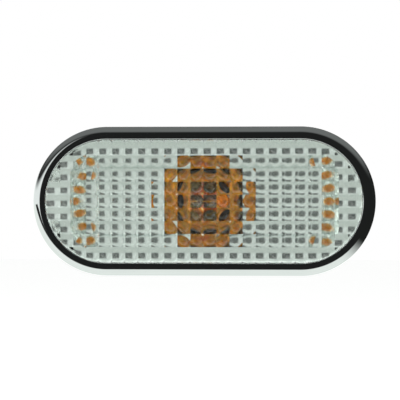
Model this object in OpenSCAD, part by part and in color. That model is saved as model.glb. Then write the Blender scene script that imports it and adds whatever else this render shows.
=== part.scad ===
// Oval side indicator lamp for a car wing, in millimetres.
// The sections are drawn with x along the lamp, y across it and z out of the wing,
// and placed() then turns them so that z of the sketch faces -Y and y faces +Z.
// The wing panel's outer skin is the plane z = 0 of the sketch.

/* [Outline] */
// Length of the lamp over its trim ring
lamp_l = 90; // [84:0.5:110]
// Width of the lamp over its trim ring
lamp_w = 39.2; // [38:0.2:44]

/* [Trim ring] */
// Height of the ring's top above the wing panel
ring_h = 7.4; // [7:0.1:9]
// Radius of the ring's outer edge
ring_round = 1.9; // [1.5:0.1:2.4]
// Width of the ring seen from the front
ring_face = 3.4; // [3.2:0.1:3.9]
// Wall of the ring
ring_wall = 1.1; // [0.8:0.1:1.3]
// Height of the skirt's lower edge above the wing panel
skirt_lift = 0.4; // [0.2:0.1:0.6]
// Length of each snap lug under the ring
lug_l = 8; // [5:1:12]
// How far a snap lug reaches under the housing flange
lug_bite = 0.5; // [0.4:0.05:0.7]
// Height of a snap lug
lug_h = 0.5; // [0.4:0.05:0.6]
// Where the outer lugs stand, as a share of the straight side's half
lug_spread = 0.7; // [0.5:0.05:0.85]

/* [Lens] */
// Width of one optic pillow
pillow_pitch = 3.43; // [3:0.01:4.5]
// Radius that each pillow is ground to, as a multiple of its width
pillow_curve = 0.875; // [0.86:0.005:1.75]
// Flat margin of plastic under the pillow corners
pillow_base = 0.25; // [0.2:0.05:0.4]
// Facets along one side of a pillow
pillow_steps = 4; // [2:1:4]
// How much the lens face bulges from rim to middle
lens_crown = 0.4; // [0.2:0.1:1.2]
// How far the lens rim stands above the ring
lens_proud = 0.4; // [0.2:0.1:1]
// Thickness of the lens at its rim
lens_rim_t = 2.0; // [1.7:0.1:2.1]
// Height of the lens shoulder that the ring's lip presses on, below the lens rim
shoulder_drop = 1.2; // [1.1:0.05:1.4]
// Wall of the lens skirt
lens_skirt_t = 1.1; // [0.9:0.1:1.2]
// Rounding of the lens rim
lens_edge_r = 0.7; // [0.4:0.1:0.9]
// Thickness of the foot that is bonded to the housing
foot_t = 1.2; // [0.8:0.1:1.4]
// How far the foot reaches past the lens skirt
foot_reach = 0.8; // [0.5:0.1:0.9]

/* [Reflector] */
// Distance from the lamp's end to the reflector's well
end_margin = 9.5; // [9.25:0.25:15]
// Distance from the lamp's side to the reflector's well
side_margin = 7.6; // [7.35:0.05:9.6]
// Corner radius of the well
well_r = 5.5; // [4:0.5:7]
// Wall of the reflector
refl_t = 0.9; // [0.7:0.1:1.1]
// Depth of the well
end_wall_d = 6; // [4:0.5:7]
// Distance from the well's end to the foot of its sloping wall
end_wall_run = 4.5; // [4:0.25:6]
// Radius of the bowl's hole round the bulb
bowl_hole_r = 6.2; // [5.8:0.1:6.8]
// Height of the bowl below the well's floor
bowl_h = 6.2; // [5.6:0.1:7]
// Growth of the bowl's radius for each millimetre of height
bowl_flare = 1; // [0.9:0.05:1.1]

/* [Housing] */
// Thickness of the foam gasket when fitted
gasket_t = 1.5; // [1.2:0.1:1.8]
// Width of the gasket's margin inside the ring's skirt
gasket_margin = 0.8; // [0.7:0.1:1.2]
// Thickness of the housing flange
flange_t = 1.2; // [1:0.1:1.4]
// Wall of the housing
house_wall = 1.3; // [1:0.1:1.4]
// Depth of the housing's box below the wing panel
box_d = 9; // [8.6:0.2:11]
// Thickness of the boss's rear wall
boss_floor_t = 2; // [1.6:0.1:2.2]
// Thickness of the stiffening ribs
rib_t = 1.4; // [1:0.1:2]
// Room round the bayonet wings inside the boss
boss_room = 0.8; // [0.6:0.1:1]
// Height of the ribs along the box's rear wall
rib_h = 2.4; // [1.6:0.1:3.2]
// Distance from the box's end to the end of each rib
rib_inset = 5; // [4:0.5:8]
// How far the webs reach from the boss along the box
web_reach = 7; // [5:0.5:9]
// Width of the sealant groove
groove_w = 0.8; // [0.6:0.1:0.9]
// Depth of the sealant groove
groove_d = 0.5; // [0.3:0.1:0.6]

/* [Panel fixing] */
// Thickest wing panel that the hook and the spring clip can hold
panel_max = 2.1; // [2.05:0.05:3]
// Width of the fixed hook
hook_w = 12; // [8:0.5:13]
// How far the fixed hook reaches behind the panel
hook_reach = 2.2; // [1.5:0.1:2.6]
// Thickness of the fixed hook
hook_t = 2.4; // [1.8:0.1:3]
// Thickness left at the hook's tip
hook_tip_t = 1; // [0.8:0.1:1.4]
// Width of the spring clip
clip_w = 9; // [6:0.5:10]
// Thickness of the spring steel
clip_t = 0.5; // [0.4:0.05:0.6]
// How far the spring clip bows out behind the panel
clip_bow = 3.1; // [2.6:0.1:3.4]
// Radius of the clip's tight bend at the rear
clip_bend = 0.6; // [0.5:0.05:0.8]
// Thickness of the rails that hold the spring clip
rail_t = 1.3; // [1:0.1:1.6]
// Height of the lips on the rails
lip_h = 3.4; // [2.4:0.1:4.4]

/* [Bulb] */
// Outer radius of the bulb's glass
bulb_r = 5.0; // [4.6:0.1:5.1]
// Thickness of the glass
glass_t = 0.5; // [0.4:0.05:0.7]
// Length of the bulb from the end of its wedge to its tip
bulb_l = 26.8; // [26:0.1:27.4]
// Height of the bulb's tip above the wing panel
tip_z = 2.3; // [1.6:0.1:2.6]
// Width of the wedge base
wedge_w = 9.2; // [8.6:0.1:9.4]
// Thickness of the wedge base
wedge_t = 2.2; // [2:0.1:2.5]
// Height of the wedge base
wedge_h = 6.5; // [6:0.1:6.8]
// Thickness of the glass where the wedge closes the bulb
pinch_t = 1; // [0.8:0.1:1.2]
// Height of the cone that joins the wedge to the round glass
neck_h = 3; // [2.6:0.1:3.4]
// Radius of the lead wires
wire_r = 0.2; // [0.15:0.01:0.25]
// Distance of each lead wire from the bulb's axis
wire_x = 2.5; // [2.1:0.1:2.8]
// Height of the filament above the wedge base
filament_h = 9; // [8:0.5:11]
// Radius of the filament's coil
coil_r = 0.35; // [0.3:0.05:0.4]
// Number of turns of the filament
coil_turns = 12; // [8:1:16]

/* [Holder] */
// Radius of the barrel that passes through the boss
barrel_r = 8.5; // [8:0.1:8.8]
// Height of the barrel above its bayonet wings
barrel_lead = 0.6; // [0.4:0.1:0.8]
// Thickness of the bayonet wings
wing_t = 1.4; // [1.2:0.1:1.6]
// Number of bayonet wings
wing_count = 3; // [2:1:4]
// Angle that each wing spans
wing_angle = 36; // [30:1:44]
// How far a wing reaches past the barrel
wing_reach = 1.9; // [1.5:0.1:2.1]
// Angle by which each slot in the boss is wider than its wing
wing_ease = 6; // [4:1:8]
// Radius of the holder's rear flange
holder_flange_r = 12.4; // [12:0.1:13]
// Thickness of the holder's rear flange
holder_flange_t = 1.8; // [1.4:0.1:2.4]
// Thickness of the holder's seal when fitted
seal_t = 1.5; // [1.2:0.1:1.8]
// Length of the plug shroud behind the flange
shroud_l = 15; // [13:0.5:18]
// Width of the plug shroud
shroud_w = 15; // [14:0.5:17]
// Thickness of the plug shroud from front to back
shroud_t = 9; // [8.4:0.2:11]
// Wall of the plug shroud
shroud_wall = 1.4; // [1.2:0.1:1.6]
// Corner radius of the plug shroud
shroud_r = 1.5; // [1:0.1:2]
// Height of the finger grips on the holder
grip_h = 5; // [4:0.5:8]
// Width of the latch that keeps the plug in
latch_w = 5; // [4:0.5:6]
// Length of the latch
latch_l = 3; // [2:0.5:4]
// How far the latch stands out of the shroud
latch_reach = 1.2; // [0.8:0.1:1.4]
// Depth of the plug pocket
pocket_d = 10; // [8:0.5:11]
// Width of each brass contact
contact_w = 2.4; // [2:0.1:2.6]
// Thickness of each brass contact
contact_t = 0.5; // [0.4:0.05:0.6]
// Distance of each contact from the holder's axis
contact_x = 3.1; // [2.9:0.1:3.3]
// Length of each contact's pin inside the plug pocket
pin_l = 7.5; // [6:0.5:7.5]

/* [Fits] */
// Clearance where one piece slides into another
slide_fit = 0.1; // [0.08:0.01:0.15]
// Clearance where one moulding drops into another
drop_fit = 0.3; // [0.2:0.05:0.35]

/* [Hidden] */
$fn = 64;

// A cut reaches this far past the face that it opens
over = 1;

// Straight facets along the spring clip's bow
bow_steps = 12;

// Shares: bulb neck to bulb radius, lead wire's fold to wedge height
neck_share = 0.55;
fold_share = 0.6;

// Half length of the straight sides between the round ends
half_spine = (lamp_l - lamp_w) / 2;
lamp_r = lamp_w / 2;

// Trim ring
lip_r = lamp_r - ring_face;
ring_mid_z = ring_h - ring_round;
skirt_in_r = lamp_r - ring_wall;

// Lens
lens_r = lip_r - slide_fit;
rim_z = ring_h + lens_proud;
shoulder_z = rim_z - shoulder_drop;
plate_z = rim_z - lens_rim_t;
lens_skirt_r = lip_r + lens_skirt_t;
dome_r = (lens_r * lens_r + lens_crown * lens_crown) / (2 * lens_crown);
dome_z = rim_z + lens_crown - dome_r;
field_r = lip_r - drop_fit;
pillow_round = pillow_curve * pillow_pitch;
pillow_sag = pillow_round - sqrt(pillow_round * pillow_round - pillow_pitch * pillow_pitch / 2);

// Housing
flange_z = gasket_t + flange_t;
flange_r = skirt_in_r - slide_fit;
foot_r = min(lens_skirt_r + foot_reach, skirt_in_r - drop_fit);
well_l = lamp_l - 2 * end_margin;
well_w = lamp_w - 2 * side_margin;
box_grow = refl_t + drop_fit + house_wall;
box_l = well_l + 2 * box_grow;
box_w = well_w + 2 * box_grow;
box_r = well_r + box_grow;
box_end = box_l / 2;
groove_r = (lip_r + foot_r - groove_w) / 2;

// Reflector
shelf_z = flange_z + refl_t;
shelf_r = lip_r - drop_fit;
floor_z = shelf_z - end_wall_d;
wall_foot_r = well_l / 2 - end_wall_run;
bowl_z = floor_z - bowl_h;
bowl_skin = refl_t * sqrt(1 + bowl_flare * bowl_flare);

// Bulb
wedge_end_z = tip_z - bulb_l;
wedge_top_z = wedge_end_z + wedge_h;
filament_z = wedge_top_z + filament_h;
wire_hole_r = wire_r + slide_fit / 2;

// Holder: the bayonet wings lock at the height where the bulb's wedge begins
boss_floor_z = wedge_top_z;
boss_d = boss_floor_t - boss_floor_z;
bore_r = barrel_r + slide_fit;
wing_r = barrel_r + wing_reach;
seal_z = -boss_d - seal_t;
holder_back_z = seal_z - holder_flange_t;
shroud_end_z = holder_back_z - shroud_l;
wing_z = boss_floor_z + slide_fit;
barrel_z = wing_z + wing_t + barrel_lead;
contact_top_z = wedge_top_z - pinch_t;
pocket_z = shroud_end_z + pocket_d;
pin_end_z = pocket_z - pin_l;
grip_y = wedge_t / 2 + 2 * wire_r;
grip_r = holder_flange_r - shroud_wall;

// Boss
boss_in_r = wing_r + boss_room;
boss_r = boss_in_r + house_wall;

// Turns a sketch so that it faces forwards
module placed() {
  rotate([90, 0, 0]) children();
}

// Sweeps a half section round the lamp's oval: two half turns and the two straight sides
module oval_sweep() {
  for (side = [0, 1])
    mirror([side, 0, 0])
      translate([half_spine, 0, 0])
        rotate([0, 0, -90])
          rotate_extrude(angle = 180) children();
  rotate([90, 0, 90])
    linear_extrude(2 * half_spine, center = true) {
      children();
      mirror([1, 0]) children();
    }
}

// A flat oval plate of end radius r between two heights
module oval_plate(r, low, high) {
  oval_sweep() translate([0, low]) square([r, high - low]);
}

// A block with upright rounded corners between two heights
module rounded_block(l, w, r, low, high) {
  h = high - low;
  translate([-l / 2 + r, -w / 2, low]) cube([l - 2 * r, w, h]);
  for (side = [0, 1])
    mirror([side, 0, 0]) {
      translate([l / 2 - r, -w / 2 + r, low]) cube([r, w - 2 * r, h]);
      for (top = [0, 1])
        mirror([0, top, 0])
          translate([l / 2 - r, w / 2 - r, low])
            rotate_extrude(angle = 90) square([r, h]);
    }
}

// Outline of a strip of thickness t bent along a line of points, with mitred corners
function unit(v) = v / norm(v);
function left_of(v) = [-v[1], v[0]];
function mitre(line, i, d) =
  let(last = len(line) - 1,
      before = unit(line[max(1, i)] - line[max(1, i) - 1]),
      after = unit(line[min(last, i + 1)] - line[min(last, i + 1) - 1]),
      middle = unit(left_of(before) + left_of(after)))
  line[i] + middle * d / (middle * left_of(before));
function strip_outline(line, t) = [
  for (i = [0:len(line) - 1]) mitre(line, i, t / 2),
  for (i = [len(line) - 1:-1:0]) mitre(line, i, -t / 2)
];
module bent_strip(line, t, w) {
  rotate([90, 0, 0])
    linear_extrude(w, center = true) polygon(strip_outline(line, t));
}

// Half section of the ring: a flat face and a round outer edge on a thin skirt
module ring_section() {
  edge_r = lamp_r - ring_round;
  difference() {
    union() {
      translate([edge_r, ring_mid_z])
        intersection() {
          circle(ring_round);
          square(ring_round);
        }
      translate([lip_r, skirt_lift]) square([ring_face, ring_mid_z - skirt_lift]);
      translate([lip_r, ring_mid_z]) square([edge_r - lip_r, ring_round]);
    }
    translate([edge_r, ring_mid_z]) circle(ring_round - ring_wall);
    translate([lip_r - over, skirt_lift - over])
      square([skirt_in_r - lip_r + over, ring_mid_z - skirt_lift + over]);
    translate([lip_r - over, ring_mid_z - over])
      square([edge_r - lip_r + over, ring_round - ring_wall + over]);
    ring_lip();
  }
}

// Cut under the ring's lip, which sits on the lens shoulder
module ring_lip() {
  translate([lip_r - over, ring_mid_z - over])
    square([lens_skirt_r + slide_fit - lip_r + over, shoulder_z - ring_mid_z + over]);
}

// Lugs inside the skirt that snap under the housing flange
module snap_lugs() {
  for (side = [0, 1])
    mirror([0, side, 0])
      for (x = [-1, 0, 1])
        translate([x * lug_spread * half_spine - lug_l / 2, skirt_in_r - lug_bite,
                   gasket_t - slide_fit - lug_h])
          cube([lug_l, lug_bite + slide_fit, lug_h]);
}

module trim_ring() {
  color([0.78, 0.8, 0.82]) placed() {
    oval_sweep() ring_section();
    snap_lugs();
  }
}

// Half section of the lens without its optics: crowned plate, shoulder, skirt and foot
module lens_section() {
  difference() {
    intersection() {
      translate([0, dome_z]) circle(dome_r, $fn = 240);
      translate([0, plate_z]) square([lens_r, lens_rim_t + lens_crown]);
    }
    difference() {
      translate([lens_r - lens_edge_r, rim_z - lens_edge_r]) square(lens_edge_r + over);
      translate([lens_r - lens_edge_r, rim_z - lens_edge_r]) circle(lens_edge_r);
    }
  }
  translate([lens_r - over, plate_z]) square([lens_skirt_r - lens_r + over, shoulder_z - plate_z]);
  translate([lip_r, flange_z]) square([lens_skirt_t, shoulder_z - flange_z]);
  translate([lip_r, flange_z]) square([foot_r - lip_r, foot_t]);
}

// Depth of the optics below the plate: every pillow is a cap of a ball, joined at its edges
function within_pillow(v) = v / pillow_pitch - floor(v / pillow_pitch) - 0.5;
function pillow_depth(x, y) =
  let(u = within_pillow(x) * pillow_pitch,
      v = within_pillow(y + pillow_pitch / 2) * pillow_pitch)
  pillow_base + pillow_sag - pillow_round + sqrt(pillow_round * pillow_round - u * u - v * v);

// The optics fill the oval: each row of points stops on the oval's edge
grid = pillow_pitch / pillow_steps;
row_count = 2 * ceil(field_r / grid);
col_count = 2 * ceil((half_spine + field_r) / grid);
function row_y(j) = max(-field_r, min(field_r, (j - row_count / 2) * grid));
function reach(j) = half_spine + sqrt(max(0, field_r * field_r - row_y(j) * row_y(j)));
function last_col(j) = min(col_count / 2, ceil(reach(j) / grid));
function col_x(i, j) = max(-reach(j), min(reach(j), i * grid));
function point_at(i, j) =
  let(k = max(-last_col(j), min(last_col(j), i)))
  j * (col_count + 1) + k + col_count / 2;
function edge_loop() = concat(
  [for (i = [-last_col(0):last_col(0)]) point_at(i, 0)],
  [for (j = [1:row_count - 1]) point_at(last_col(j), j)],
  [for (i = [last_col(row_count):-1:-last_col(row_count)]) point_at(i, row_count)],
  [for (j = [row_count - 1:-1:1]) point_at(-last_col(j), j)]
);
function sound(face) = face[0] != face[1] && face[1] != face[2] && face[0] != face[2];

module pillow_field() {
  layer = (row_count + 1) * (col_count + 1);
  bumps = [
    for (j = [0:row_count]) for (i = [-col_count / 2:col_count / 2])
      [col_x(i, j), row_y(j), plate_z - pillow_depth(col_x(i, j), row_y(j))]
  ];
  flat = [for (p = bumps) [p[0], p[1], plate_z]];
  rim = edge_loop();
  n = len(rim);
  cells = [
    for (j = [0:row_count - 1]) for (i = [-col_count / 2:col_count / 2 - 1])
      let(a = point_at(i, j), b = point_at(i + 1, j),
          c = point_at(i + 1, j + 1), d = point_at(i, j + 1))
      each [[a, b, c], [a, c, d]]
  ];
  sides = [
    for (k = [0:n - 1])
      let(a = rim[k], b = rim[(k + 1) % n])
      each [[a, a + layer, b + layer], [a, b + layer, b]]
  ];
  polyhedron(concat(bumps, flat),
    concat([for (f = cells) if (sound(f)) f], sides, [[for (k = [n - 1:-1:0]) rim[k] + layer]]));
}

module front_lens() {
  color([0.9, 0.95, 0.93, 0.4]) placed() {
    oval_sweep() lens_section();
    pillow_field();
  }
}

// The well grown outwards by a wall of thickness t; t = 0 gives the hollow itself.
// Its end walls are parts of one cone round the bulb, which sends the bulb's light forwards.
module well_form(t, top) {
  foot_z = floor_z - t;
  foot_r = wall_foot_r + t * (sqrt(2) - 1);
  bowl_r = bowl_hole_r + (t > 0 ? bowl_skin : 0);
  intersection() {
    rounded_block(well_l + 2 * t, well_w + 2 * t, well_r + t, bowl_z, top);
    union() {
      translate([0, 0, foot_z]) cylinder(r1 = foot_r, r2 = foot_r + top - foot_z, h = top - foot_z, $fn = 160);
      translate([0, 0, bowl_z])
        cylinder(r1 = bowl_r, r2 = bowl_r + bowl_flare * (top - bowl_z), h = top - bowl_z);
    }
  }
}

module reflector() {
  color([0.82, 0.84, 0.84]) placed()
    difference() {
      union() {
        oval_plate(shelf_r, flange_z, shelf_z);
        well_form(refl_t, shelf_z);
      }
      well_form(0, shelf_z + over);
      translate([0, 0, bowl_z - over]) cylinder(r = bowl_hole_r, h = over * 2);
    }
}

// Ring sectors: the bayonet wings, and the slots in the boss's rear wall that let them through
module bayonet(out_r, low, high, angle) {
  for (k = [0:wing_count - 1])
    rotate([0, 0, k * 360 / wing_count - angle / 2])
      translate([0, 0, low])
        rotate_extrude(angle = angle)
          translate([barrel_r - over, 0]) square([out_r - barrel_r + over, high - low]);
}

// Ribs along the box's rear wall, and webs between that wall and the boss
module housing_ribs() {
  for (side = [0, 1])
    mirror([side, 0, 0]) {
      for (y = [-1, 1])
        translate([boss_r / 2, (y * box_w / 2 - rib_t) / 2, -box_d - rib_h])
          cube([box_end - rib_inset - boss_r / 2, rib_t, rib_h + over]);
      rotate([90, 0, 0])
        linear_extrude(rib_t, center = true)
          polygon([[boss_r - over, boss_floor_z], [boss_r - over, house_wall / 2 - box_d],
                   [boss_r + web_reach, house_wall / 2 - box_d], [boss_r + web_reach, -box_d]]);
    }
}

// Rails with lips that hold the spring clip's flat leg against the end wall
module clip_rails() {
  leg = clip_t + slide_fit;
  for (side = [0, 1])
    mirror([0, side, 0]) {
      translate([box_end - over, clip_w / 2 + slide_fit, -box_d])
        cube([over + leg, rail_t, box_d - panel_max]);
      translate([box_end + leg, clip_w / 2 + slide_fit - over, -box_d])
        cube([rail_t / 2, rail_t + over, lip_h]);
    }
}

// Hook with a sloping rear face that goes behind the panel's edge
module fixed_hook() {
  rotate([90, 0, 0])
    linear_extrude(hook_w, center = true)
      polygon([[-box_end + over, -panel_max], [-box_end - hook_reach, -panel_max],
               [-box_end - hook_reach, -panel_max - hook_tip_t],
               [-box_end + over, -panel_max - hook_t - over]]);
}

module lamp_housing() {
  color([0.16, 0.17, 0.18]) placed()
    difference() {
      union() {
        oval_plate(flange_r, gasket_t, flange_z);
        rounded_block(box_l, box_w, box_r, -box_d, gasket_t + flange_t / 2);
        translate([0, 0, -boss_d]) cylinder(r = boss_r, h = boss_d - house_wall);
        housing_ribs();
        clip_rails();
        fixed_hook();
      }
      rounded_block(box_l - 2 * house_wall, box_w - 2 * house_wall, box_r - house_wall,
                    -box_d + house_wall, flange_z + over);
      translate([0, 0, boss_floor_z]) cylinder(r = boss_in_r, h = boss_d);
      translate([0, 0, -boss_d - over]) cylinder(r = bore_r, h = boss_floor_t + 2 * over);
      rotate([0, 0, 180 / wing_count])
        bayonet(wing_r + drop_fit, -boss_d - over, boss_floor_z + over, wing_angle + wing_ease);
      oval_sweep() translate([groove_r, flange_z - groove_d]) square([groove_w, groove_d + over]);
    }
}

module lens_sealant() {
  color([0.12, 0.12, 0.12]) placed()
    oval_sweep() translate([groove_r, flange_z - groove_d]) square([groove_w, groove_d]);
}

module panel_gasket() {
  color([0.1, 0.1, 0.1]) placed()
    difference() {
      oval_plate(flange_r - gasket_margin, 0, gasket_t);
      rounded_block(box_l + 2 * drop_fit, box_w + 2 * drop_fit, box_r + drop_fit, -over, gasket_t + over);
    }
}

// The clip: a flat leg in the rails, a tight bend at the rear and a bowed leg that springs outwards
module spring_clip() {
  leg_x = box_end + (clip_t + slide_fit) / 2;
  bow_x = leg_x + 2 * clip_bend;
  top_z = -panel_max - clip_t / 2 - slide_fit;
  swell = clip_bow - 2 * clip_bend - leg_x + box_end;
  line = concat(
    [[leg_x, top_z - clip_bend]],
    [for (a = [0:30:180]) [leg_x + clip_bend * (1 - cos(a)), -box_d - clip_bend * sin(a)]],
    [for (k = [1:bow_steps])
      [bow_x + swell * pow(sin(180 * k / bow_steps), 1.5), -box_d + k * (top_z + box_d) / bow_steps]]
  );
  color([0.62, 0.64, 0.66]) placed() bent_strip(line, clip_t, clip_w);
}

// The bulb's glass: round envelope with a domed tip on a flat wedge base
module envelope(r, low, high, neck) {
  translate([0, 0, high - r]) sphere(r);
  translate([0, 0, low + neck]) cylinder(r = r, h = high - r - low - neck);
  translate([0, 0, low]) cylinder(r1 = r * neck_share, r2 = r, h = neck);
}

module bulb_glass() {
  color([0.95, 0.5, 0.06, 0.8]) placed()
    difference() {
      union() {
        envelope(bulb_r, wedge_top_z - pinch_t / 2, tip_z, neck_h);
        translate([-wedge_w / 2, -wedge_t / 2, wedge_end_z]) cube([wedge_w, wedge_t, wedge_h + pinch_t]);
      }
      envelope(bulb_r - glass_t, wedge_top_z + pinch_t / 2, tip_z - glass_t, neck_h);
      for (side = [-1, 1])
        translate([side * wire_x, 0, wedge_end_z - over])
          cylinder(r = wire_hole_r, h = wedge_h + neck_h + over);
    }
}

// A lead wire: from the filament down through the wedge, round its end and up one flat side
module lead_wire(side) {
  y = side * (wedge_t / 2 + wire_r);
  low = wedge_end_z - wire_r;
  translate([side * wire_x, 0, low]) cylinder(r = wire_r, h = filament_z - low, $fn = 24);
  translate([side * wire_x, 0, low]) sphere(wire_r, $fn = 24);
  translate([side * wire_x, 0, low])
    rotate([-90 * side, 0, 0]) cylinder(r = wire_r, h = abs(y), $fn = 24);
  translate([side * wire_x, y, low]) sphere(wire_r, $fn = 24);
  translate([side * wire_x, y, low]) cylinder(r = wire_r, h = wedge_h * fold_share, $fn = 24);
}

module lead_wire_left() {
  color([0.7, 0.7, 0.68]) placed() lead_wire(-1);
}

module lead_wire_right() {
  color([0.7, 0.7, 0.68]) placed() lead_wire(1);
}

// The filament: a thin core with its turns as rings, between the two lead wires
module bulb_filament() {
  span = 2 * (wire_x - wire_r);
  color([0.45, 0.45, 0.45]) placed()
    translate([-span / 2, 0, filament_z - wire_r])
      rotate([0, 90, 0]) {
        cylinder(r = coil_r / 2, h = span, $fn = 24);
        for (k = [1:coil_turns])
          translate([0, 0, k * span / (coil_turns + 1) - coil_r / 4])
            cylinder(r = coil_r, h = coil_r / 2, $fn = 24);
      }
}

// Channel for one contact, grown by a clearance c
module contact_path(side, c) {
  y = side * (grip_y + contact_t / 2);
  translate([side * contact_x - contact_w / 2 - c, y - contact_t / 2 - c, pin_end_z - c])
    cube([contact_w + 2 * c, contact_t + 2 * c, contact_top_z - pin_end_z + 2 * c]);
}

// The bulb's round foot and wedge drop into the holder from the front
module bulb_socket() {
  slot_w = wedge_w + 4 * slide_fit;
  slot_z = wedge_end_z - 2 * wire_r - slide_fit;
  translate([0, 0, contact_top_z + pinch_t / 2 - slide_fit])
    cylinder(r = bulb_r + drop_fit, h = wedge_h);
  translate([-slot_w / 2, -grip_y, slot_z]) cube([slot_w, 2 * grip_y, wedge_h * 2]);
}

module bulb_holder() {
  color([0.08, 0.08, 0.09]) placed()
    difference() {
      union() {
        translate([0, 0, holder_back_z]) cylinder(r = holder_flange_r, h = holder_flange_t);
        translate([0, 0, seal_z]) cylinder(r = barrel_r, h = barrel_z - seal_z);
        bayonet(wing_r, wing_z, wing_z + wing_t, wing_angle);
        rounded_block(shroud_w, shroud_t, shroud_r, shroud_end_z, holder_back_z);
        translate([-grip_r, -rib_t / 2, holder_back_z - grip_h]) cube([2 * grip_r, rib_t, grip_h]);
        translate([-latch_w / 2, shroud_t / 2 - over, shroud_end_z + latch_l])
          cube([latch_w, over + latch_reach, latch_l]);
      }
      bulb_socket();
      for (side = [-1, 1]) contact_path(side, slide_fit / 2);
      rounded_block(shroud_w - 2 * shroud_wall, shroud_t - 2 * shroud_wall, shroud_r / 2,
                    shroud_end_z - over, pocket_z);
    }
}

module holder_seal() {
  color([0.05, 0.05, 0.05]) placed()
    translate([0, 0, seal_z])
      difference() {
        cylinder(r = holder_flange_r - drop_fit, h = seal_t);
        translate([0, 0, -over]) cylinder(r = bore_r, h = seal_t + 2 * over);
      }
}

module contact_left() {
  color([0.78, 0.62, 0.28]) placed() contact_path(-1, 0);
}

module contact_right() {
  color([0.78, 0.62, 0.28]) placed() contact_path(1, 0);
}

trim_ring();
front_lens();
reflector();
lamp_housing();
lens_sealant();
panel_gasket();
spring_clip();
bulb_glass();
bulb_filament();
lead_wire_left();
lead_wire_right();
bulb_holder();
holder_seal();
contact_left();
contact_right();
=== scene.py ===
"""Looks of an oval side indicator lamp: finishes, optics, bulb and light.

Shapes are worked out in millimetres in the lamp's own sketch: x runs along the lamp, y up across it
and z out of the wing, with the wing panel's outer skin at z = 0. place() turns a sketch into the row's frame.
"""

import logging
import math
from dataclasses import dataclass, field
from enum import Enum
from typing import Callable, Optional, Sequence, Union

import bmesh
import bpy
import numpy as np
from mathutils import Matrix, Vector


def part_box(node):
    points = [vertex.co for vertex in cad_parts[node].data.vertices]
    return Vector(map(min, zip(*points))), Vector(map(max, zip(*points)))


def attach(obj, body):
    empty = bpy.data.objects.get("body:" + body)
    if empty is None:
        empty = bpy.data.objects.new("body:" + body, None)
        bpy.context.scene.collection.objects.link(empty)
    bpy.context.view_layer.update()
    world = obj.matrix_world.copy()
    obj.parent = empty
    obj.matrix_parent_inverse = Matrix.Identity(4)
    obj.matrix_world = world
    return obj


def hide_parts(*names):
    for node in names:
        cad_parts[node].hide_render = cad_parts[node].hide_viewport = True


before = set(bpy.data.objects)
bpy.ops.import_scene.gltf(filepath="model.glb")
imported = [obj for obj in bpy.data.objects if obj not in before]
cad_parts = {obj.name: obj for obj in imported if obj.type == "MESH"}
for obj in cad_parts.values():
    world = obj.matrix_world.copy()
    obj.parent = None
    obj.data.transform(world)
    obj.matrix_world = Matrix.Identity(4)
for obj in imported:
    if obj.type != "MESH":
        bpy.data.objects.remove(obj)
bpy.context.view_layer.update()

LOG = logging.getLogger("lamp")
MM = 0.001
BODY = "root"

Colour = tuple[float, float, float]
Number = Union[float, "Signal"]


class Slot(Enum):
    """Material slots of the record."""

    CHROME = "chromed_plastic"
    LENS = "clear_lens"
    METALLISED = "metallised_plastic"
    HOUSING = "black_plastic"
    SEALANT = "sealant"
    FOAM = "foam"
    SPRING = "spring_steel"
    AMBER = "amber_glass"
    WIRE = "tungsten"
    HOLDER = "holder_plastic"
    SEAL = "seal_rubber"
    BRASS = "contact_brass"


class Shading(Enum):
    """Edge angle in degrees above which a piece keeps a hard edge."""

    ROUND = 50.0
    TURNED = 30.0
    OPTIC = 22.0


def place(points: np.ndarray) -> np.ndarray:
    """Turns sketch millimetres into the row's metres.

    Args:
        points: Array of shape (..., 3) in the sketch.

    Returns:
        Array of the same shape: z of the sketch faces -Y and y faces +Z.
    """
    return np.stack([points[..., 0], -points[..., 2], points[..., 1]], axis=-1) * MM


def grid_quads(rows: int, cols: int, wrap_rows: bool = False, wrap_cols: bool = False) -> np.ndarray:
    """Lists the quads of a grid of points stored row by row.

    Args:
        rows: Number of rows of points.
        cols: Number of points in a row.
        wrap_rows: Whether the last row joins the first.
        wrap_cols: Whether the last column joins the first.

    Returns:
        Array of shape (n, 4) of point indices.
    """
    i, j = np.meshgrid(
        np.arange(rows if wrap_rows else rows - 1), np.arange(cols if wrap_cols else cols - 1), indexing="ij"
    )
    below, right = (i + 1) % rows, (j + 1) % cols
    quads = np.stack([i * cols + j, i * cols + right, below * cols + right, below * cols + j], axis=-1)
    return quads.reshape(-1, 4)


def mesh_object(name: str, points: np.ndarray, faces: Sequence[np.ndarray], shading: Shading) -> bpy.types.Object:
    """Makes an object at the origin from sketch points.

    Args:
        name: Name of the object.
        points: Array of shape (n, 3) in sketch millimetres.
        faces: Arrays of faces, each of shape (m, k).
        shading: How sharp an edge has to be to stay hard.

    Returns:
        The new object, its doubles merged and its faces outwards.
    """
    mesh = bpy.data.meshes.new(name)
    mesh.from_pydata(place(points).tolist(), [], [f for block in faces for f in block.tolist()])
    tidy_mesh(mesh, shading, recalculate=True)
    made = bpy.data.objects.new(name, mesh)
    bpy.context.scene.collection.objects.link(made)
    return made


def tidy_mesh(mesh: bpy.types.Mesh, shading: Shading, recalculate: bool) -> None:
    """Merges doubles, drops faces of no area and sets smooth shading.

    Args:
        mesh: The mesh to tidy.
        shading: How sharp an edge has to be to stay hard.
        recalculate: Whether the faces are turned outwards.
    """
    for stored in [a for a in mesh.attributes if a.name == "custom_normal"]:
        mesh.attributes.remove(stored)
    work = bmesh.new()
    work.from_mesh(mesh)
    bmesh.ops.remove_doubles(work, verts=work.verts, dist=1e-7)
    bmesh.ops.dissolve_degenerate(work, edges=work.edges, dist=1e-8)
    if recalculate:
        bmesh.ops.recalc_face_normals(work, faces=work.faces)
    work.to_mesh(mesh)
    work.free()
    mesh.shade_smooth()
    mesh.set_sharp_from_angle(angle=math.radians(shading.value))


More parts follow.
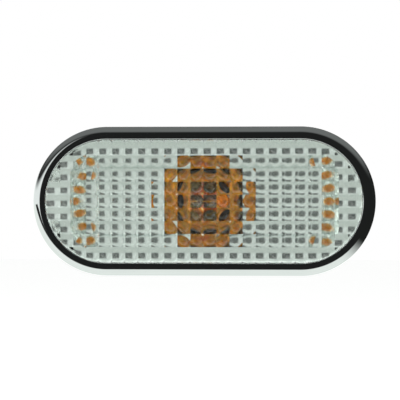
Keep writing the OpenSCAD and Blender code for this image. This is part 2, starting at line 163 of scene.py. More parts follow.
def join_solids(base: bpy.types.Object, tool: bpy.types.Object, operation: str) -> bpy.types.Object:
    """Runs one boolean on two closed pieces and removes the tool.

    Args:
        base: The piece that is changed.
        tool: The piece that is added, cut away or intersected.
        operation: UNION, DIFFERENCE or INTERSECT.

    Returns:
        The changed base.
    """
    step = base.modifiers.new("solid", "BOOLEAN")
    step.operation, step.solver, step.object = operation, "MANIFOLD", tool
    solid = bpy.data.meshes.new_from_object(base.evaluated_get(bpy.context.evaluated_depsgraph_get()))
    base.modifiers.remove(step)
    base.data = solid
    bpy.data.objects.remove(tool)
    return base


def merged_copy(node: str, name: str, shading: Shading) -> bpy.types.Object:
    """Copies a node's mesh, merges its loose triangles and smooths it.

    Args:
        node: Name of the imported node.
        name: Name of the new piece.
        shading: How sharp an edge has to be to stay hard.

    Returns:
        The new piece, which replaces the node.
    """
    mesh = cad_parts[node].data.copy()
    mesh.name = name
    mesh.materials.clear()
    tidy_mesh(mesh, shading, recalculate=False)
    made = bpy.data.objects.new(name, mesh)
    bpy.context.scene.collection.objects.link(made)
    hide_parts(node)
    return made


@dataclass(frozen=True)
class Grain:
    """Size of a noise: how often it repeats in a millimetre, its layers and the strength of the fine ones."""

    scale: float
    detail: float = 2.0
    roughness: float = 0.5


def shaded(colour: Colour, factor: float) -> Colour:
    """The colour made darker or paler by a factor."""
    return tuple(channel * factor for channel in colour)


@dataclass(frozen=True)
class Signal:
    """An output socket on which Python's operators add Math nodes."""

    graph: "Graph"
    socket: Optional[bpy.types.NodeSocket]

    def math(self, operation: str, *others: Number) -> "Signal":
        """Adds a Math node that reads this signal first."""
        return self.graph.node("ShaderNodeMath", {"operation": operation}, dict(enumerate((self,) + others)))

    def __add__(self, other: Number) -> "Signal":
        """Sum."""
        return self.math("ADD", other)

    __radd__ = __add__

    def __mul__(self, other: Number) -> "Signal":
        """Product."""
        return self.math("MULTIPLY", other)

    __rmul__ = __mul__

    def __sub__(self, other: Number) -> "Signal":
        """Difference."""
        return self.math("SUBTRACT", other)

    def __rsub__(self, other: float) -> "Signal":
        """Difference from a number."""
        return self.graph.node("ShaderNodeMath", {"operation": "SUBTRACT"}, {0: other, 1: self})

    def clamped(self) -> "Signal":
        """The signal held between 0 and 1."""
        return self.graph.node("ShaderNodeClamp", {}, {"Value": self})

    def step(self, low: float, high: float) -> "Signal":
        """Rises smoothly from 0 at low to 1 at high."""
        settings = {"interpolation_type": "SMOOTHSTEP"}
        return self.graph.node("ShaderNodeMapRange", settings, {"Value": self, "From Min": low, "From Max": high})


class Graph:
    """A node tree and the calls that add nodes to it."""

    def __init__(self, tree: bpy.types.NodeTree) -> None:
        """Empties the tree.

        Args:
            tree: The tree of a material or of the world.
        """
        tree.nodes.clear()
        self.tree = tree

    def node(self, kind: str, settings: dict, inputs: dict, output: Union[int, str] = 0) -> Signal:
        """Adds one node.

        Args:
            kind: The node's type.
            settings: Properties that are set before the sockets.
            inputs: Values, colours or signals by socket name or index.
            output: Name or index of the output that is wanted.

        Returns:
            The output as a signal.
        """
        made = self.tree.nodes.new(kind)
        for key, value in settings.items():
            setattr(made, key, value)
        for key, value in inputs.items():
            if isinstance(value, Signal):
                self.tree.links.new(value.socket, made.inputs[key])
            elif isinstance(value, tuple) and made.inputs[key].type == "RGBA":
                made.inputs[key].default_value = (*value, 1.0)
            else:
                made.inputs[key].default_value = value
        return Signal(self, made.outputs[output] if made.outputs else None)

    def object_point(self, scale: float = 1000.0) -> Signal:
        """Object coordinates in millimetres.

        Args:
            scale: Factor from metres.

        Returns:
            The scaled vector.
        """
        where = self.node("ShaderNodeTexCoord", {}, {}, "Object")
        return self.node("ShaderNodeVectorMath", {"operation": "SCALE"}, {0: where, "Scale": scale})

    def noise(self, point: Signal, grain: Grain) -> Signal:
        """Noise between 0 and 1 on a point in millimetres."""
        sizes = {"Scale": grain.scale, "Detail": grain.detail, "Roughness": grain.roughness}
        return self.node("ShaderNodeTexNoise", {}, {"Vector": point, **sizes})

    def blend(self, factor: Number, first: Union[Colour, Signal], second: Union[Colour, Signal]) -> Signal:
        """Blends two colours."""
        names = {"Factor": factor, 6: first, 7: second}
        return self.node("ShaderNodeMix", {"data_type": "RGBA"}, names, 2)

    def bump(self, height: Signal, depth_mm: float, strength: float = 1.0) -> Signal:
        """Bump of a height signal, in millimetres."""
        return self.node(
            "ShaderNodeBump", {}, {"Height": height, "Distance": depth_mm * MM, "Strength": strength}
        )

    def shader(self, **inputs: object) -> Signal:
        """A Principled shader; underscores in the names stand for spaces."""
        return self.node("ShaderNodeBsdfPrincipled", {}, {k.replace("_", " "): v for k, v in inputs.items()})

    def surface(self, shader: Signal) -> None:
        """Links a shader to the material's output."""
        self.node("ShaderNodeOutputMaterial", {"is_active_output": True}, {"Surface": shader})


def new_material(name: str, build: Callable[[Graph], Signal]) -> bpy.types.Material:
    """Makes a material from a function that returns its shader.

    Args:
        name: Name of the material.
        build: Function that fills the graph.

    Returns:
        The material.
    """
    made = bpy.data.materials.new(name)
    made.use_nodes = True
    graph = Graph(made.node_tree)
    graph.surface(build(graph))
    return made


@dataclass(frozen=True)
class ChromePlate:
    """Bright chrome plate on moulded plastic: mirror-like, with faint wipe marks and orange peel."""

    colour: Colour = (0.64, 0.665, 0.67)
    roughness: float = 0.025
    wipe: float = 0.05
    haze: float = 0.02
    hazed_shade: float = 0.94
    peel_mm: float = 0.004
    mark_edge: tuple[float, float] = (0.45, 0.75)
    mark_grain: Grain = Grain(1.4, 5.0, 0.65)
    haze_grain: Grain = Grain(0.12, 3.0)
    peel_grain: Grain = Grain(0.55, 1.0)

    def shader(self, g: Graph) -> Signal:
        """Builds the shader.

        Args:
            g: The material's graph.

        Returns:
            The shader.
        """
        point = g.object_point()
        marks = g.noise(point, self.mark_grain)
        haze = g.noise(point, self.haze_grain)
        rough = marks.step(*self.mark_edge) * self.wipe + haze * self.haze + self.roughness
        peel = g.noise(point, self.peel_grain)
        tint = g.blend(haze, self.colour, shaded(self.colour, self.hazed_shade))
        return g.shader(Base_Color=tint, Metallic=1.0, Roughness=rough, Normal=g.bump(peel, self.peel_mm))


@dataclass(frozen=True)
class ClearPlastic:
    """Clear moulded lens plastic with a faint green-grey body."""

    colour: Colour = (0.955, 0.985, 0.97)
    ior: float = 1.49
    roughness: float = 0.004
    dust: float = 0.06
    ripple_mm: float = 0.004
    dust_edge: tuple[float, float] = (0.6, 0.85)
    dust_grain: Grain = Grain(2.6, 6.0, 0.7)
    ripple_grain: Grain = Grain(0.25, 1.0)

    def shader(self, g: Graph) -> Signal:
        """Builds the shader.

        Args:
            g: The material's graph.

        Returns:
            The shader.
        """
        point = g.object_point()
        rough = g.noise(point, self.dust_grain).step(*self.dust_edge) * self.dust + self.roughness
        ripple = g.noise(point, self.ripple_grain)
        return g.shader(
            Base_Color=self.colour, Roughness=rough, IOR=self.ior, Normal=g.bump(ripple, self.ripple_mm),
            Transmission_Weight=1.0,
        )


@dataclass(frozen=True)
class MetallisedFilm:
    """Vacuum-metallised plastic: a bright film that is slightly milky."""

    colour: Colour = (0.86, 0.90, 0.88)
    roughness: float = 0.09
    metal: float = 0.98
    haze: float = 0.06
    clouded_shade: float = 0.93
    grain_mm: float = 0.003
    cloud_grain: Grain = Grain(0.35, 3.0)
    fine_grain: Grain = Grain(9.0, 2.0)

    def shader(self, g: Graph) -> Signal:
        """Builds the shader.

        Args:
            g: The material's graph.

        Returns:
            The shader.
        """
        point = g.object_point()
        cloud = g.noise(point, self.cloud_grain)
        bump = g.bump(g.noise(point, self.fine_grain), self.grain_mm)
        rough = cloud * self.haze + self.roughness
        tint = g.blend(cloud, self.colour, shaded(self.colour, self.clouded_shade))
        return g.shader(Base_Color=tint, Metallic=self.metal, Roughness=rough, Normal=bump)


@dataclass(frozen=True)
class MouldedPlastic:
    """Satin moulded plastic with a fine spark-eroded grain."""

    colour: Colour
    roughness: float = 0.48
    grain_mm: float = 0.02
    grain_strength: float = 0.7
    grain_rough: float = 0.05
    flow_rough: float = 0.12
    shades: tuple[float, float] = (0.8, 1.25)
    edge_mm: float = 0.18
    spark_grain: Grain = Grain(7.0, 3.0, 0.6)
    flow_grain: Grain = Grain(0.18, 3.0)

    def shader(self, g: Graph) -> Signal:
        """Builds the shader.

        Args:
            g: The material's graph.

        Returns:
            The shader.
        """
        point = g.object_point()
        grain = g.noise(point, self.spark_grain)
        flow = g.noise(point, self.flow_grain)
        rough = flow * self.flow_rough + (self.roughness - self.flow_rough / 2) + grain * self.grain_rough
        tint = g.blend(flow, *(shaded(self.colour, factor) for factor in self.shades))
        soft = g.node("ShaderNodeBevel", {"samples": 4}, {"Radius": self.edge_mm * MM})
        depth = {"Distance": self.grain_mm * MM, "Strength": self.grain_strength}
        bump = g.node("ShaderNodeBump", {}, {"Height": grain, "Normal": soft, **depth})
        return g.shader(Base_Color=tint, Roughness=rough, Normal=bump)


@dataclass(frozen=True)
class CellFoam:
    """Closed-cell foam or rubber, matt, with fine pores."""

    colour: Colour
    pore: float = 3.2
    depth_mm: float = 0.12
    roughness: float = 0.85
    pore_strength: float = 0.6
    patch_rough: float = 0.1
    patch_shade: float = 1.7
    patch_grain: Grain = Grain(0.3, 3.0)

    def shader(self, g: Graph) -> Signal:
        """Builds the shader.

        Args:
            g: The material's graph.

        Returns:
            The shader.
        """
        point = g.object_point()
        cells = g.node("ShaderNodeTexVoronoi", {}, {"Vector": point, "Scale": self.pore})
        patch = g.noise(point, self.patch_grain)
        tint = g.blend(patch, self.colour, shaded(self.colour, self.patch_shade))
        rough = patch * self.patch_rough + (self.roughness - self.patch_rough / 2)
        bump = g.bump(cells, self.depth_mm, self.pore_strength)
        return g.shader(Base_Color=tint, Roughness=rough, Normal=bump)


@dataclass(frozen=True)
class AmberGlass:
    """Amber bulb glass: clear coloured glass, a little streaky from the dip."""

    pale: Colour = (1.0, 0.70, 0.04)
    deep: Colour = (1.0, 0.42, 0.006)
    clear: float = 1.0
    ior: float = 1.5
    roughness: float = 0.01
    streak_rough: float = 0.03
    streak_edge: tuple[float, float] = (0.36, 0.64)
    streak_grain: Grain = Grain(0.8, 2.0)

    def shader(self, g: Graph) -> Signal:
        """Builds the shader.

        Args:
            g: The material's graph.

        Returns:
            The shader.
        """
        point = g.object_point()
        streak = g.noise(point, self.streak_grain).step(*self.streak_edge)
        rough = streak * self.streak_rough + self.roughness
        tint = g.blend(streak, self.pale, self.deep)
        return g.shader(Base_Color=tint, Roughness=rough, IOR=self.ior, Transmission_Weight=self.clear)


@dataclass(frozen=True)
class WorkedMetal:
    """Bare metal strip or wire with drawing lines along one axis."""

    colour: Colour
    roughness: float = 0.25
    lines: tuple[float, float, float] = (0.4, 6.0, 6.0)
    line_rough: float = 0.15
    line_mm: float = 0.01
    line_strength: float = 0.5
    patch_shade: float = 0.75
    line_grain: Grain = Grain(2.0, 3.0)
    patch_grain: Grain = Grain(0.5, 2.0)

    def shader(self, g: Graph) -> Signal:
        """Builds the shader.

        Args:
            g: The material's graph.

        Returns:
            The shader.
        """
        point = g.object_point()
        along = g.node("ShaderNodeVectorMath", {"operation": "MULTIPLY"}, {0: point, 1: self.lines})
        drawn = g.noise(along, self.line_grain)
        patch = g.noise(point, self.patch_grain)
        tint = g.blend(patch, self.colour, shaded(self.colour, self.patch_shade))
        bump = g.bump(drawn, self.line_mm, self.line_strength)
        return g.shader(Base_Color=tint, Metallic=1.0, Roughness=drawn * self.line_rough + self.roughness, Normal=bump)


def dress(piece: bpy.types.Object, finish: object, slot: Slot) -> None:
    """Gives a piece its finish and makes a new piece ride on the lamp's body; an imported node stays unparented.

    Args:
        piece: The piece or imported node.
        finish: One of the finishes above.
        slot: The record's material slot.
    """
    piece.data.materials.clear()
    piece.data.materials.append(new_material(f"{piece.name}_{slot.value}", finish.shader))
    if piece.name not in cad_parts:
        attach(piece, BODY)
    LOG.info("%s: %d faces, %s", piece.name, len(piece.data.polygons), slot.value)


@dataclass(frozen=True)
class Oval:
    """The lamp's oval: two half turns set apart by a straight spine."""

    half_spine: float
    arc_steps: int = 120
    straight_steps: int = 64

    def loop(self) -> tuple[np.ndarray, np.ndarray]:
        """Walks once round the oval.

        Returns:
            Points of the spine and the outward unit vectors at them, each of shape (n, 2). A point at
            distance r from the spine is foot + r * normal.
        """
        turn = np.linspace(-math.pi / 2, math.pi / 2, self.arc_steps, endpoint=False)
        along = np.linspace(self.half_spine, -self.half_spine, self.straight_steps, endpoint=False)
        arc = np.stack([np.cos(turn), np.sin(turn)], axis=-1)
        right_foot = np.tile([self.half_spine, 0.0], (self.arc_steps, 1))
        up = np.tile([0.0, 1.0], (self.straight_steps, 1))
        top_foot = np.stack([along, np.zeros_like(along)], axis=-1)
        feet = np.concatenate([right_foot, top_foot, -right_foot, -top_foot])
        normals = np.concatenate([arc, up, -arc, -up])
        return feet, normals

    def sweep(self, name: str, profile: np.ndarray, closed: bool, shading: Shading) -> bpy.types.Object:
        """Carries a half section round the oval.

        Args:
            name: Name of the piece.
            profile: Points (r, z) of the section, r counted from the spine.
            closed: Whether the section's last point joins its first; an open one starts and ends at r = 0.
            shading: How sharp an edge has to be to stay hard.

        Returns:
            The piece. A point is (foot + r * normal, z).
        """
        feet, normals = self.loop()
        flat = feet[:, None, :] + profile[None, :, :1] * normals[:, None, :]
        height = np.broadcast_to(profile[None, :, 1:], flat.shape[:2] + (1,))
        points = np.concatenate([flat, height], axis=-1).reshape(-1, 3)
        quads = grid_quads(len(feet), len(profile), wrap_rows=True, wrap_cols=closed)
        return mesh_object(name, points, [quads], shading)


def arc(centre: tuple[float, float], radius: float, start: float, end: float, steps: int) -> np.ndarray:
    """Points of a circle's arc in a section.

    Args:
        centre: Centre (r, z).
        radius: Radius of the arc.
        start: First angle in degrees, from +r towards +z.
        end: Last angle in degrees.
        steps: Number of points.

    Returns:
        Array of shape (steps, 2).
    """
    turn = np.radians(np.linspace(start, end, steps))
    return np.stack([centre[0] + radius * np.cos(turn), centre[1] + radius * np.sin(turn)], axis=-1)


@dataclass(frozen=True)
class LampSizes:
    """Driving sizes in millimetres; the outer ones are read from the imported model."""

    length: float
    width: float
    ring_h: float = 7.4
    ring_round: float = 1.9
    ring_face: float = 3.4
    ring_wall: float = 1.1
    skirt_lift: float = 0.4
    lens_crown: float = 0.4
    lens_proud: float = 0.4
    lens_rim_t: float = 2.0
    shoulder_drop: float = 1.2
    skirt_t: float = 1.1
    edge_r: float = 0.7
    foot_t: float = 1.2
    foot_reach: float = 0.8
    flange_z: float = 2.7
    slide_fit: float = 0.1

    @property
    def half_spine(self) -> float:
        """Half the straight length between the round ends."""
        return (self.length - self.width) / 2

    @property
    def lip_r(self) -> float:
        """Radius of the ring's inner lip."""
        return self.width / 2 - self.ring_face

    @property
    def lens_r(self) -> float:
        """Radius of the lens rim."""
        return self.lip_r - self.slide_fit

    @property
    def rim_z(self) -> float:
        """Height of the lens rim."""
        return self.ring_h + self.lens_proud

    @property
    def plate_z(self) -> float:
        """Height of the lens plate's inner face."""
        return self.rim_z - self.lens_rim_t

    @property
    def shoulder_z(self) -> float:
        """Height of the lens shoulder under the ring's lip."""
        return self.rim_z - self.shoulder_drop

    @property
    def oval(self) -> Oval:
        """The oval that the lamp's pieces are swept round."""
        return Oval(self.half_spine)


@dataclass
class Front:
    """Trim ring and lens."""

    sizes: LampSizes
    pillow_pitch: float = 3.43
    pillow_curve: float = 1.1
    pillow_base: float = 0.25
    pillow_steps: int = 12
    lip_edge: float = 0.2
    lip_rest: float = 0.02
    face_curve: float = 20.0
    face_lean_deg: float = 0.4
    skirt_edge: float = 0.15
    optics_overlap: float = 0.5
    core_reach: float = 2.0
    core_fit: float = 0.02
    chrome: ChromePlate = field(default_factory=ChromePlate)
    clear: ClearPlastic = field(default_factory=ClearPlastic)

    def ring_profile(self) -> np.ndarray:
        """Closed section of the trim ring: a faintly crowned face, a round outer edge and a thin skirt.

        Returns:
            Array of points (r, z). The face is a large arc that falls a little towards the lens, and it
            runs into the outer edge's arc without a corner.
        """
        s = self.sizes
        outer = s.width / 2
        face_r, lean = self.face_curve, self.face_lean_deg
        edge = (outer - s.ring_round, s.ring_h - s.ring_round)
        bend = arc(edge, s.ring_round, 0.0, 90.0 - lean, 28)
        crest_r = bend[-1, 0] - face_r * math.sin(math.radians(lean))
        middle = (crest_r, bend[-1, 1] - face_r * math.cos(math.radians(lean)))
        fall = math.degrees(math.asin((crest_r - s.lip_r - self.lip_edge) / face_r))
        face = arc(middle, face_r, 90.0 - lean, 90.0 + fall, 16)[1:]
        lip = arc((s.lip_r + self.lip_edge, face[-1, 1] - self.lip_edge), self.lip_edge, 90.0, 180.0, 7)[1:]
        seat_r = s.lip_r + s.skirt_t + s.slide_fit
        under = s.ring_h - s.ring_wall
        inner = outer - s.ring_wall
        rest_z, cut = s.shoulder_z + self.lip_rest, self.skirt_edge
        return np.concatenate([
            [[outer - cut, s.skirt_lift], [outer, s.skirt_lift + cut]], bend, face, lip,
            [[s.lip_r, rest_z], [seat_r, rest_z], [seat_r, under]],
            arc((edge[0], edge[1]), s.ring_round - s.ring_wall, 90.0, 0.0, 8), [[inner, s.skirt_lift]],
        ])

    def build_ring(self) -> None:
        """Builds and dresses the trim ring."""
        ring = self.sizes.oval.sweep("chrome_ring", self.ring_profile(), True, Shading.TURNED)
        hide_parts("trim_ring")
        dress(ring, self.chrome, Slot.CHROME)

    def lens_profile(self) -> np.ndarray:
        """Open section of the lens without its optics, from the crown's middle round to the plate.

        Returns:
            Array of points (r, z) that starts and ends on the spine.
        """
        s = self.sizes
        dome_r = (s.lens_r**2 + s.lens_crown**2) / (2 * s.lens_crown)
        turn = np.linspace(0.0, math.asin((s.lens_r - s.edge_r) / dome_r), 24)
        dome = np.stack([dome_r * np.sin(turn), s.rim_z + s.lens_crown - dome_r + dome_r * np.cos(turn)], axis=-1)
        edge = arc((s.lens_r - s.edge_r, dome[-1, 1] - s.edge_r), s.edge_r, 82.0, 0.0, 10)
        outer = s.lip_r + s.skirt_t
        return np.concatenate([
            dome, edge,
            [[s.lens_r, s.shoulder_z], [outer, s.shoulder_z], [outer, s.flange_z + s.foot_t],
             [outer + s.foot_reach, s.flange_z + s.foot_t], [outer + s.foot_reach, s.flange_z],
             [s.lip_r, s.flange_z], [s.lip_r, s.plate_z], [s.lip_r * 0.5, s.plate_z], [0.0, s.plate_z]],
        ])

    def pillow_field(self) -> bpy.types.Object:
        """Closed block whose lower face is a grid of pillows.

        Returns:
            The block, wider than the lens. Each pillow is a cap of a ball: its depth is the ball's height
            over the cell's corners plus a margin.
        """
        s, pitch = self.sizes, self.pillow_pitch
        ball = pitch * self.pillow_curve
        cols, rows = 2 * math.ceil(s.length / 2 / pitch), 2 * math.ceil(s.width / 2 / pitch) + 1
        n = self.pillow_steps
        x = (np.arange(cols * n + 1) / n - cols / 2) * pitch
        y = (np.arange(rows * n + 1) / n - rows / 2) * pitch
        spread = (np.arange(n + 1) / n - 0.5) * pitch
        across = np.append(np.tile(spread[:-1], cols), spread[-1])
        upward = np.append(np.tile(spread[:-1], rows), spread[-1])
        sag = ball - math.sqrt(ball**2 - pitch**2 / 2)
        grid_x, grid_y = np.meshgrid(x, y, indexing="xy")
        depth = np.sqrt(ball**2 - across[None, :] ** 2 - upward[:, None] ** 2) - ball + sag + self.pillow_base
        low = np.stack([grid_x, grid_y, s.plate_z - depth], axis=-1).reshape(-1, 3)
        top = np.full_like(grid_x, s.plate_z + self.optics_overlap)
        high = np.stack([grid_x, grid_y, top], axis=-1).reshape(-1, 3)
        quads = grid_quads(len(y), len(x))
        rim = np.concatenate([
            np.arange(len(x)), np.arange(1, len(y)) * len(x) + len(x) - 1,
            (len(y) - 1) * len(x) + np.arange(len(x) - 2, -1, -1), np.arange(len(y) - 2, 0, -1) * len(x),
        ])
        after = np.roll(rim, -1)
        count = len(low)
        sides = np.stack([rim, after, after + count, rim + count], axis=-1)
        return mesh_object("pillow_field", np.concatenate([low, high]), [quads, quads + count, sides], Shading.OPTIC)

    def build_lens(self) -> None:
        """Builds and dresses the lens: the swept body joined with the pillows inside the oval."""
        s = self.sizes
        field_r, top_z = s.lip_r - self.core_fit, s.plate_z + self.core_reach
        prism = np.array([[0.0, top_z], [field_r, top_z], [field_r, 0.0], [0.0, 0.0]])
        optics = join_solids(
            self.pillow_field(), s.oval.sweep("oval_prism", prism, False, Shading.OPTIC), "INTERSECT"
        )
        lens = s.oval.sweep("pillow_lens", self.lens_profile(), False, Shading.OPTIC)
        lens = join_solids(lens, optics, "UNION")
        tidy_mesh(lens.data, Shading.OPTIC, recalculate=False)
        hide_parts("front_lens")
        dress(lens, self.clear, Slot.LENS)

    def build(self) -> None:
        """Builds the sub-assembly."""
        self.build_ring()
        self.build_lens()


@dataclass
class Body:
    """Reflector, housing, gasket, sealant and clip."""

    film: MetallisedFilm = field(default_factory=MetallisedFilm)
    plastic: MouldedPlastic = field(default_factory=lambda: MouldedPlastic((0.028, 0.028, 0.03)))
    foam: CellFoam = field(default_factory=lambda: CellFoam((0.022, 0.022, 0.023)))
    butyl: CellFoam = field(default_factory=lambda: CellFoam((0.03, 0.03, 0.03), 0.8, 0.05, 0.6))
    steel: WorkedMetal = field(default_factory=lambda: WorkedMetal((0.60, 0.61, 0.62)))
    well_rim_z: float = 2.2
    well_drop: float = 2.6

    def deeper_well(self) -> bpy.types.Object:
        """Copies the reflector and lowers its floor, cone and bowl, so that the optics focus above the floor.

        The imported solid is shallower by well_drop: this depth was chosen for likeness to the photograph.

        Returns:
            The reflector. All points below the well's rim move back by the same distance, which lengthens
            only the upright part of its walls.
        """
        well = merged_copy("reflector", "metallised_well", Shading.TURNED)
        points = np.empty(len(well.data.vertices) * 3, dtype=np.float32)
        well.data.vertices.foreach_get("co", points)
        depth = points.reshape(-1, 3)[:, 1]
        depth[depth > -self.well_rim_z * MM] += self.well_drop * MM
        well.data.vertices.foreach_set("co", points)
        well.data.update()
        return well

    def build(self) -> None:
        """Builds the sub-assembly."""
        dress(self.deeper_well(), self.film, Slot.METALLISED)
        dress(merged_copy("lamp_housing", "moulded_housing", Shading.TURNED), self.plastic, Slot.HOUSING)
        dress(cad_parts["panel_gasket"], self.foam, Slot.FOAM)
        dress(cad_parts["lens_sealant"], self.butyl, Slot.SEALANT)
        dress(merged_copy("spring_clip", "bowed_clip", Shading.ROUND), self.steel, Slot.SPRING)


@dataclass
class BulbAndHolder:
    """Amber wedge bulb, its wires and the twist-in holder."""

    amber: AmberGlass = field(default_factory=AmberGlass)
    wire: WorkedMetal = field(default_factory=lambda: WorkedMetal((0.55, 0.55, 0.54), 0.3))
    plastic: MouldedPlastic = field(default_factory=lambda: MouldedPlastic((0.035, 0.035, 0.04), 0.4))
    rubber: CellFoam = field(default_factory=lambda: CellFoam((0.02, 0.02, 0.02), 1.2, 0.03, 0.7))
    brass: WorkedMetal = field(default_factory=lambda: WorkedMetal((0.80, 0.60, 0.26), 0.2))

    def build(self) -> None:
        """Builds the sub-assembly."""
        dress(merged_copy("bulb_glass", "amber_bulb", Shading.TURNED), self.amber, Slot.AMBER)
        for node in ("bulb_filament", "lead_wire_left", "lead_wire_right"):
            dress(merged_copy(node, node + "_drawn", Shading.ROUND), self.wire, Slot.WIRE)
        dress(merged_copy("bulb_holder", "twist_holder", Shading.TURNED), self.plastic, Slot.HOLDER)
        dress(merged_copy("holder_seal", "rubber_seal", Shading.TURNED), self.rubber, Slot.SEAL)
        for node in ("contact_left", "contact_right"):
            dress(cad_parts[node], self.brass, Slot.BRASS)


@dataclass
class Studio:
    """Camera, floor and light.

    Reflections and rays through the lens see different surroundings, both fitted to the photograph. Pairs are
    the start and end of a fade, as a part of a direction of length 1, or in metres on the floor.
    """

    photo_px: float = 400.0
    lamp_px: float = 344.3
    centre_px: tuple[float, float] = (203.15, 201.3)
    distance: float = 0.45
    yaw_deg: float = 3.5
    sensor_mm: float = 36.0
    near_clip: float = 0.01
    floor_z: float = -0.12
    floor_half: float = 3.0
    floor_lift: float = 0.8
    floor_tint: Colour = (0.96, 1.0, 0.95)
    floor_front: tuple[float, float] = (-0.6, -0.45)
    floor_right: tuple[float, float] = (0.10, 0.22)
    window: float = 1.2
    window_side: tuple[float, float] = (0.17, 0.23)
    window_top: tuple[float, float] = (0.1, 0.3)
    sky: float = 0.2
    sky_rise: tuple[float, float] = (0.25, 0.7)
    dark: float = 0.02
    room_tint: Colour = (0.97, 1.0, 0.97)
    tent: float = 0.66
    tent_dark: float = 0.12
    tent_far: float = 1.2
    tent_turn: tuple[float, float] = (-0.88, -0.7)
    opening_left: tuple[float, float] = (-0.11, -0.07)
    opening_foot: tuple[float, float] = (-0.1, -0.04)
    opening_head: tuple[float, float] = (0.27, 0.33)
    key_at: tuple[float, float, float] = (-0.5, -0.35, 0.7)
    back_at: tuple[float, float, float] = (0.4, 0.6, 0.5)
    lamp_size: float = 0.5
    lamp_power: float = 6.0

    def camera(self, length: float, focus: Vector) -> None:
        """Places the camera square on the lamp's face, a little to its right.

        Args:
            length: Length of the lamp in metres.
            focus: Middle of the lamp's face.
        """
        data = bpy.data.cameras.new("camera")
        view_w = length * self.photo_px / self.lamp_px
        data.sensor_width = self.sensor_mm
        data.lens = self.sensor_mm * self.distance / view_w
        data.clip_start = self.near_clip
        eye = bpy.data.objects.new("camera", data)
        bpy.context.scene.collection.objects.link(eye)
        yaw = math.radians(self.yaw_deg)
        aside = Vector((math.cos(yaw), math.sin(yaw), 0.0))
        pixel = view_w / self.photo_px
        half = self.photo_px / 2
        aim = focus - aside * (self.centre_px[0] - half) * pixel
        aim.z += (self.centre_px[1] - half) * pixel
        eye.location = aim + Vector((math.sin(yaw), -math.cos(yaw), 0.0)) * self.distance
        eye.rotation_euler = (aim - eye.location).to_track_quat("-Z", "Y").to_euler()
        bpy.context.scene.camera = eye

    def floor(self) -> None:
        """Lays a plain pale floor."""
        size, level = self.floor_half, self.floor_z
        mesh = bpy.data.meshes.new("floor")
        mesh.from_pydata([(-size, -size, level), (size, -size, level), (size, size, level), (-size, size, level)],
                         [], [(0, 1, 2, 3)])
        ground = bpy.data.objects.new("floor", mesh)
        bpy.context.scene.collection.objects.link(ground)
        mesh.materials.append(new_material("pale_floor", self.floor_shader))

    def floor_shader(self, g: Graph) -> Signal:
        """Pale matt floor that the camera sees nearly white.

        Reflections see it bright in front of the lamp on the left, and rays through the lens as the tent.

        Args:
            g: The material's graph.

        Returns:
            The shader.
        """
        matt = g.shader(Base_Color=(0.9, 0.9, 0.9), Roughness=0.9)
        path = g.node("ShaderNodeLightPath", {}, {}, "Is Camera Ray")
        rays = path.socket.node.outputs
        through = Signal(g, rays["Is Transmission Ray"])
        seen = (Signal(g, rays["Is Glossy Ray"]) + through).clamped()
        where = g.node("ShaderNodeTexCoord", {}, {}, "Object")
        parts = g.node("ShaderNodeSeparateXYZ", {}, {"Vector": where}, "X").socket.node.outputs
        x, y = Signal(g, parts["X"]), Signal(g, parts["Y"])
        ring = y.step(*self.floor_front) * (1.0 - x.step(*self.floor_right)) * self.window + self.dark
        lift = g.node("ShaderNodeEmission", {}, {"Strength": path * self.floor_lift})
        level = ring + (self.tent - ring) * through
        tone = g.node("ShaderNodeEmission", {}, {"Color": self.floor_tint, "Strength": level})
        plain = g.node("ShaderNodeAddShader", {}, {0: matt, 1: lift})
        return g.node("ShaderNodeMixShader", {}, {"Fac": seen, 1: plain, 2: tone})

    def world(self) -> None:
        """White to the camera, a dark room with a bright left side to reflections, a pale tent through the lens.

        The tent has a dark opening round the camera and to its right, and is brighter to the sides and behind.
        """
        world = bpy.data.worlds.new("studio")
        bpy.context.scene.world = world
        world.use_nodes = True
        g = Graph(world.node_tree)
        where = g.node("ShaderNodeTexCoord", {}, {}, "Generated")
        parts = g.node("ShaderNodeSeparateXYZ", {}, {"Vector": where}, "X")
        node = parts.socket.node
        x, y, z = (Signal(g, node.outputs[axis]) for axis in ("X", "Y", "Z"))
        window = (x * -1.0).step(*self.window_side) * (1.0 - z.step(*self.window_top))
        ring = window * self.window + z.step(*self.sky_rise) * self.sky + self.dark
        height = z.step(*self.opening_foot) * (1.0 - z.step(*self.opening_head))
        opening = x.step(*self.opening_left) * height
        lens = (1.0 - opening) * self.tent + y.step(*self.tent_turn) * self.tent_far + self.tent_dark
        path = g.node("ShaderNodeLightPath", {}, {}, "Is Camera Ray")
        through = Signal(g, path.socket.node.outputs["Is Transmission Ray"])
        room = ring + (lens - ring) * through
        lit = g.node("ShaderNodeBackground", {}, {"Color": self.room_tint, "Strength": room})
        white = g.node("ShaderNodeBackground", {}, {"Color": (1.0, 1.0, 1.0), "Strength": 1.0})
        both = g.node("ShaderNodeMixShader", {}, {"Fac": path, 1: lit, 2: white})
        g.node("ShaderNodeOutputWorld", {}, {"Surface": both})

    def lamp(self, name: str, place_at: Vector, target: Vector) -> None:
        """Adds a soft area lamp that neither reflections nor rays through the lens see.

        Args:
            name: Name of the lamp.
            place_at: Where it stands.
            target: What it points at.
        """
        data = bpy.data.lights.new(name, "AREA")
        data.energy, data.size = self.lamp_power, self.lamp_size
        made = bpy.data.objects.new(name, data)
        made.visible_glossy = made.visible_transmission = False
        bpy.context.scene.collection.objects.link(made)
        made.location = place_at
        made.rotation_euler = (target - place_at).to_track_quat("-Z", "Y").to_euler()

    def build(self, length: float, focus: Vector) -> None:
        """Builds the stage.

        Args:
            length: Length of the lamp in metres.
            focus: Middle of the lamp's face.
        """
        self.camera(length, focus)
        self.floor()
        self.world()
        self.lamp("key", Vector(self.key_at), focus)
        self.lamp("back", Vector(self.back_at), focus)
        scene = bpy.context.scene
        scene.view_settings.view_transform = "Standard"
        scene.cycles.use_denoising = True
        scene.cycles.max_bounces = 32
        scene.cycles.transmission_bounces = 24
        scene.cycles.glossy_bounces = 16


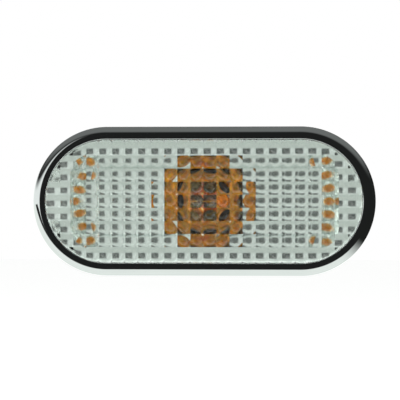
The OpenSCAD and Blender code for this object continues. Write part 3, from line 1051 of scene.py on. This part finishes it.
def main() -> None:
    """Builds the lamp and its stage."""
    logging.basicConfig(level=logging.INFO, format="%(name)s %(message)s")
    low, high = (Vector(corner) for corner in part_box("trim_ring"))
    sizes = LampSizes(length=(high.x - low.x) / MM, width=(high.z - low.z) / MM)
    Front(sizes).build()
    Body().build()
    BulbAndHolder().build()
    Studio().build(high.x - low.x, Vector((0.0, -sizes.ring_h * MM, 0.0)))


if __name__ == "__main__":
    main()
